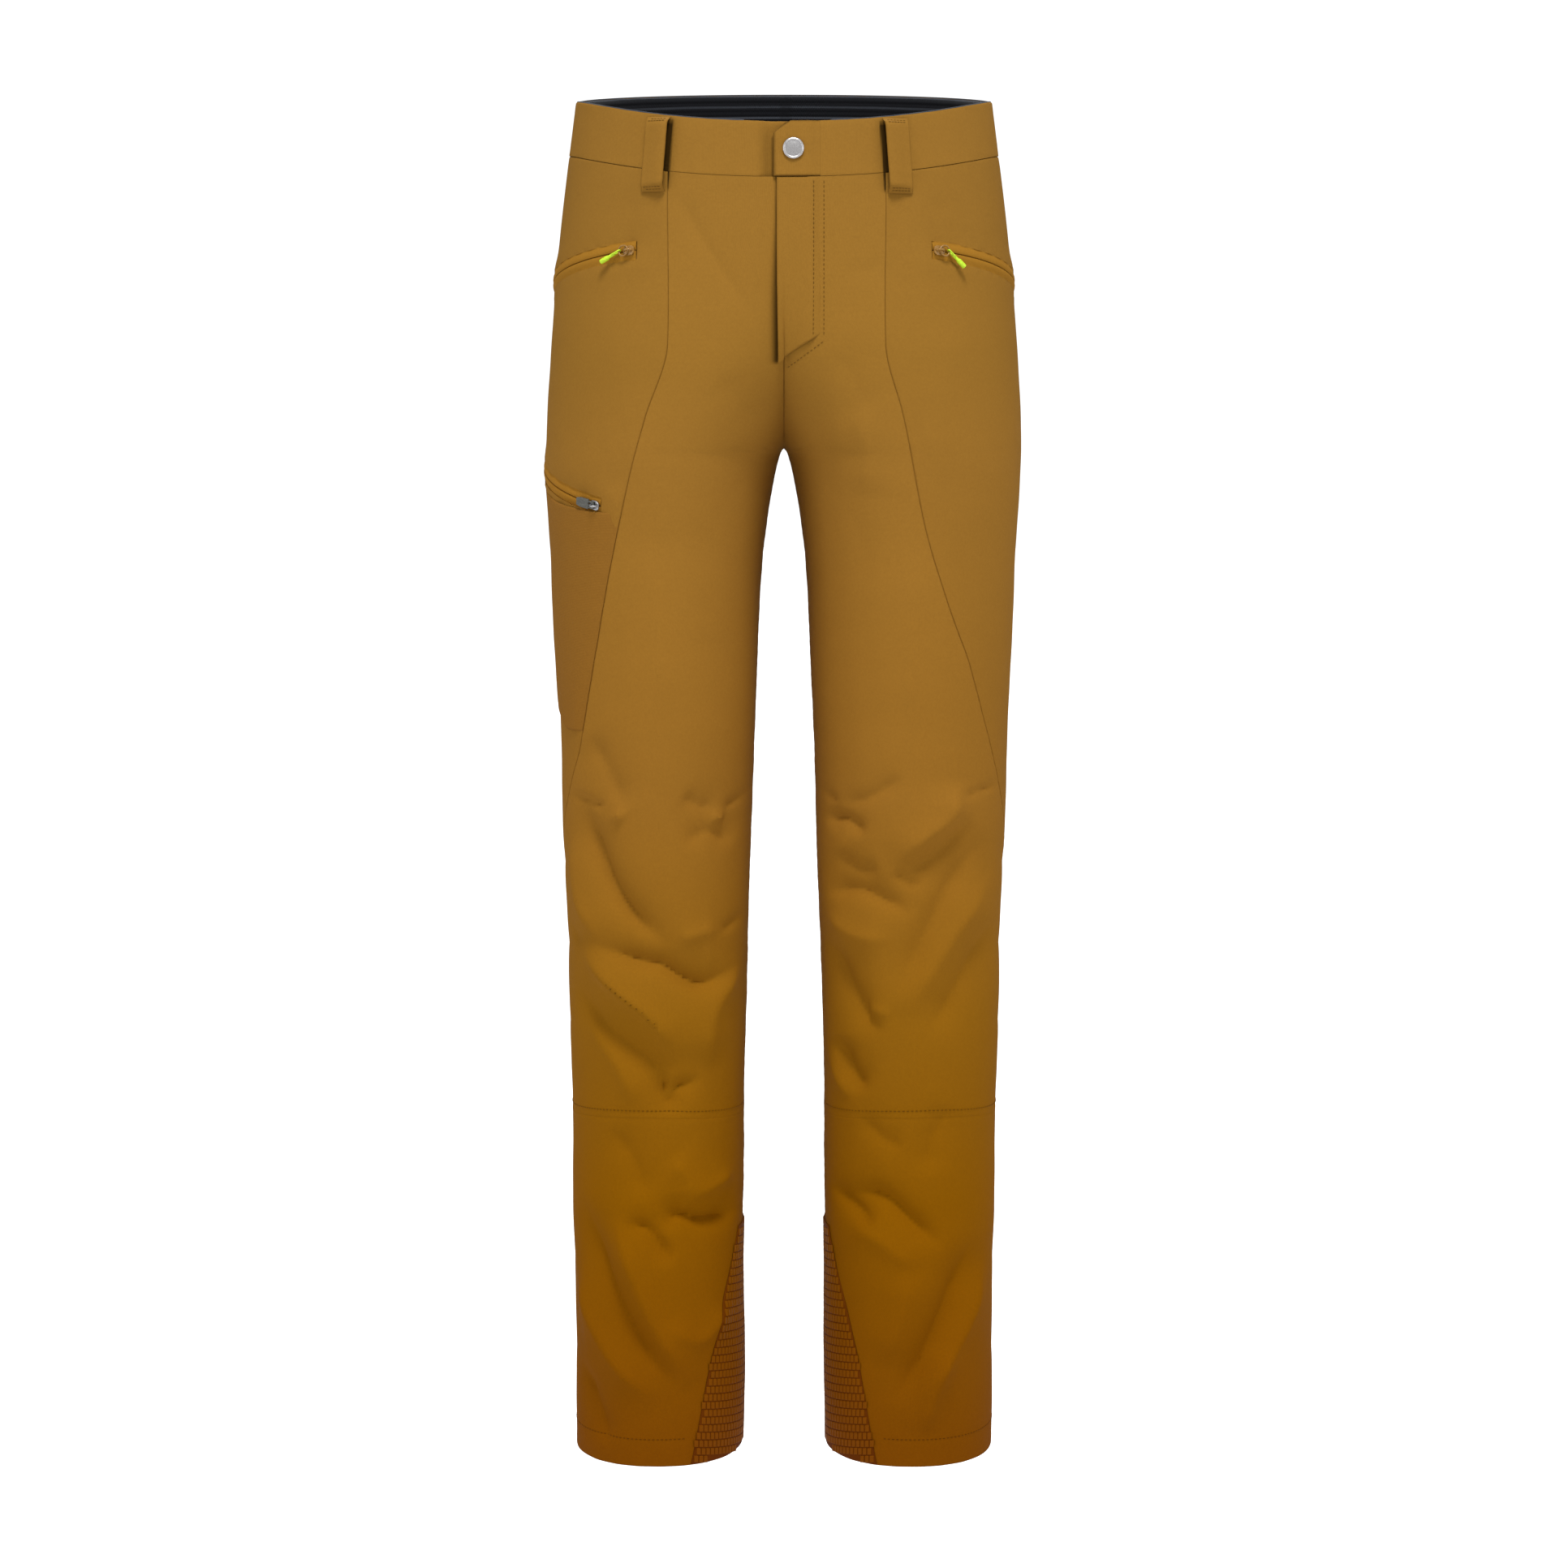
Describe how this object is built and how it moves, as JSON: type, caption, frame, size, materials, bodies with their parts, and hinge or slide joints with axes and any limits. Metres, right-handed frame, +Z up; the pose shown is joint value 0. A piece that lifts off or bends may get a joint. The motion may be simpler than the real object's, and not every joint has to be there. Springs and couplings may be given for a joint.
{
  "type": "mountain trousers",
  "caption": "Long hiking trousers in stretch cloth with zipped hand, thigh and back pockets, buttoned waistband, fly flap, belt loops and ankle guards, shaped as worn.",
  "frame": {"origin": "middle of the waist opening, level with the waistband's rim at the hips", "axes": "+Z up towards the waist, -Y towards the front, +X towards the wearer's left leg"},
  "size_m": [0.3722, 0.2496, 1.075],
  "materials": {
    "main_cloth": "plain-woven stretch cloth, matt",
    "side_cloth": "plain-woven stretch cloth, matt",
    "pocket_cloth": "heavier woven cloth, matt",
    "lower_cloth": "plain-woven stretch cloth, matt",
    "guard_cloth": "abrasion-resistant cloth with a raised block texture",
    "elastic": "woven elastic with pale stripes",
    "lining": "knitted lining",
    "zip_tape": "woven tape with a nylon coil",
    "slider_paint": "satin enamel",
    "cord_pull": "moulded, semi-gloss",
    "snap_metal": "polished",
    "zip_metal": "satin",
    "tab_plastic": "moulded, matt"
  },
  "bodies": {
    "garment": {"front_panel_right": "main_cloth", "side_panel_right": "side_cloth", "back_panel_right": "main_cloth", "back_yoke_right": "main_cloth", "shin_panel_right": "lower_cloth", "calf_panel_right": "lower_cloth", "ankle_guard_right": "guard_cloth", "hem_facing_right": "lower_cloth", "front_panel_left": "main_cloth", "side_panel_left": "side_cloth", "back_panel_left": "main_cloth", "back_yoke_left": "main_cloth", "shin_panel_left": "lower_cloth", "calf_panel_left": "lower_cloth", "ankle_guard_left": "guard_cloth", "hem_facing_left": "lower_cloth", "thigh_pocket_patch": "pocket_cloth", "hand_zip_right_tape_upper": "zip_tape", "hand_zip_right_tape_lower": "zip_tape", "hand_pocket_bag_right": "lining", "hand_zip_left_tape_upper": "zip_tape", "hand_zip_left_tape_lower": "zip_tape", "hand_pocket_bag_left": "lining", "back_zip_tape_upper": "zip_tape", "back_zip_tape_lower": "zip_tape", "back_pocket_bag": "lining", "thigh_zip_tape_upper": "zip_tape", "thigh_zip_tape_lower": "zip_tape", "fly_zip_tape_left": "zip_tape", "fly_zip_tape_right": "zip_tape", "fly_shield": "main_cloth", "waistband_right": "main_cloth", "waistband_left": "main_cloth", "inner_elastic": "elastic", "belt_loop_front_right": "main_cloth", "belt_loop_back_right": "main_cloth", "belt_loop_front_left": "main_cloth", "belt_loop_back_left": "main_cloth", "belt_loop_back_centre": "main_cloth", "snap_stud": "snap_metal", "snap_back_plate": "snap_metal"},
    "fly_cover": {"fly_flap": "main_cloth", "waist_tab": "main_cloth", "snap_cap": "snap_metal", "snap_socket": "snap_metal"},
    "fly_slider": {"fly_zip_slider": "slider_paint", "fly_zip_tab": "slider_paint"},
    "hand_zip_right_slider": {"hand_zip_right_slider": "slider_paint"},
    "hand_zip_right_ring": {"hand_zip_right_ring": "slider_paint"},
    "hand_zip_right_pull": {"hand_zip_right_cord_pull": "cord_pull"},
    "hand_zip_left_slider": {"hand_zip_left_slider": "slider_paint"},
    "hand_zip_left_ring": {"hand_zip_left_ring": "slider_paint"},
    "hand_zip_left_pull": {"hand_zip_left_cord_pull": "cord_pull"},
    "back_zip_slider": {"back_zip_slider": "slider_paint"},
    "back_zip_ring": {"back_zip_ring": "slider_paint"},
    "back_zip_pull": {"back_zip_cord_pull": "cord_pull"},
    "thigh_zip_slider": {"thigh_zip_slider": "zip_metal"},
    "thigh_zip_tab": {"thigh_zip_tab": "tab_plastic"}
  },
  "joints": [
    {"name": "fly_cover_swing", "type": "hinge", "parent": "garment", "child": "fly_cover", "pos_m": [0.02721, -0.1071, -0.0183], "axis": [0.0035, 0.0463, 0.9989], "range_deg": [0, 100]},
    {"name": "fly_slider_run", "type": "slide", "parent": "garment", "child": "fly_slider", "axis": [0, 0.0251, -0.9997], "range_m": [0, 0.095]},
    {"name": "hand_zip_right_run", "type": "hinge", "parent": "garment", "child": "hand_zip_right_slider", "pos_m": [-0.06154, 0.00882, -0.14006], "axis": [-0.0022, -0.2446, -0.9696], "range_deg": [0, 71.7]},
    {"name": "hand_zip_right_ring_swing", "type": "hinge", "parent": "hand_zip_right_slider", "child": "hand_zip_right_ring", "pos_m": [-0.11747, -0.09476, -0.1138], "axis": [-0.0022, -0.2446, -0.9696], "range_deg": [-110, 0]},
    {"name": "hand_zip_right_pull_swing", "type": "hinge", "parent": "hand_zip_right_ring", "child": "hand_zip_right_pull", "pos_m": [-0.12438, -0.09124, -0.11467], "axis": [-0.0022, -0.2446, -0.9696], "range_deg": [-80, 0]},
    {"name": "hand_zip_left_run", "type": "hinge", "parent": "garment", "child": "hand_zip_left_slider", "pos_m": [0.06154, 0.00882, -0.14006], "axis": [-0.0022, 0.2446, 0.9696], "range_deg": [0, 71.7]},
    {"name": "hand_zip_left_ring_swing", "type": "hinge", "parent": "hand_zip_left_slider", "child": "hand_zip_left_ring", "pos_m": [0.11747, -0.09476, -0.1138], "axis": [-0.0022, 0.2446, 0.9696], "range_deg": [-110, 0]},
    {"name": "hand_zip_left_pull_swing", "type": "hinge", "parent": "hand_zip_left_ring", "child": "hand_zip_left_pull", "pos_m": [0.12438, -0.09124, -0.11467], "axis": [-0.0022, 0.2446, 0.9696], "range_deg": [-80, 0]},
    {"name": "back_zip_run", "type": "hinge", "parent": "garment", "child": "back_zip_slider", "pos_m": [-0.04208, -0.02841, -0.1586], "axis": [-0.0707, 0.2146, -0.9741], "range_deg": [0, 34.2]},
    {"name": "back_zip_ring_swing", "type": "hinge", "parent": "back_zip_slider", "child": "back_zip_ring", "pos_m": [-0.13499, 0.1003, -0.1235], "axis": [-0.0707, 0.2146, -0.9741], "range_deg": [-110, 0]},
    {"name": "back_zip_pull_swing", "type": "hinge", "parent": "back_zip_ring", "child": "back_zip_pull", "pos_m": [-0.12861, 0.10476, -0.12298], "axis": [-0.0707, 0.2146, -0.9741], "range_deg": [-80, 0]},
    {"name": "thigh_zip_run", "type": "hinge", "parent": "garment", "child": "thigh_zip_slider", "pos_m": [-0.05544, 0.00582, -0.28553], "axis": [-0.0426, 0.2353, -0.971], "range_deg": [0, 59.7]},
    {"name": "thigh_zip_tab_swing", "type": "hinge", "parent": "thigh_zip_slider", "child": "thigh_zip_tab", "pos_m": [-0.14474, -0.09322, -0.30561], "axis": [-0.0426, 0.2353, -0.971], "range_deg": [-110, 0]}
  ]
}
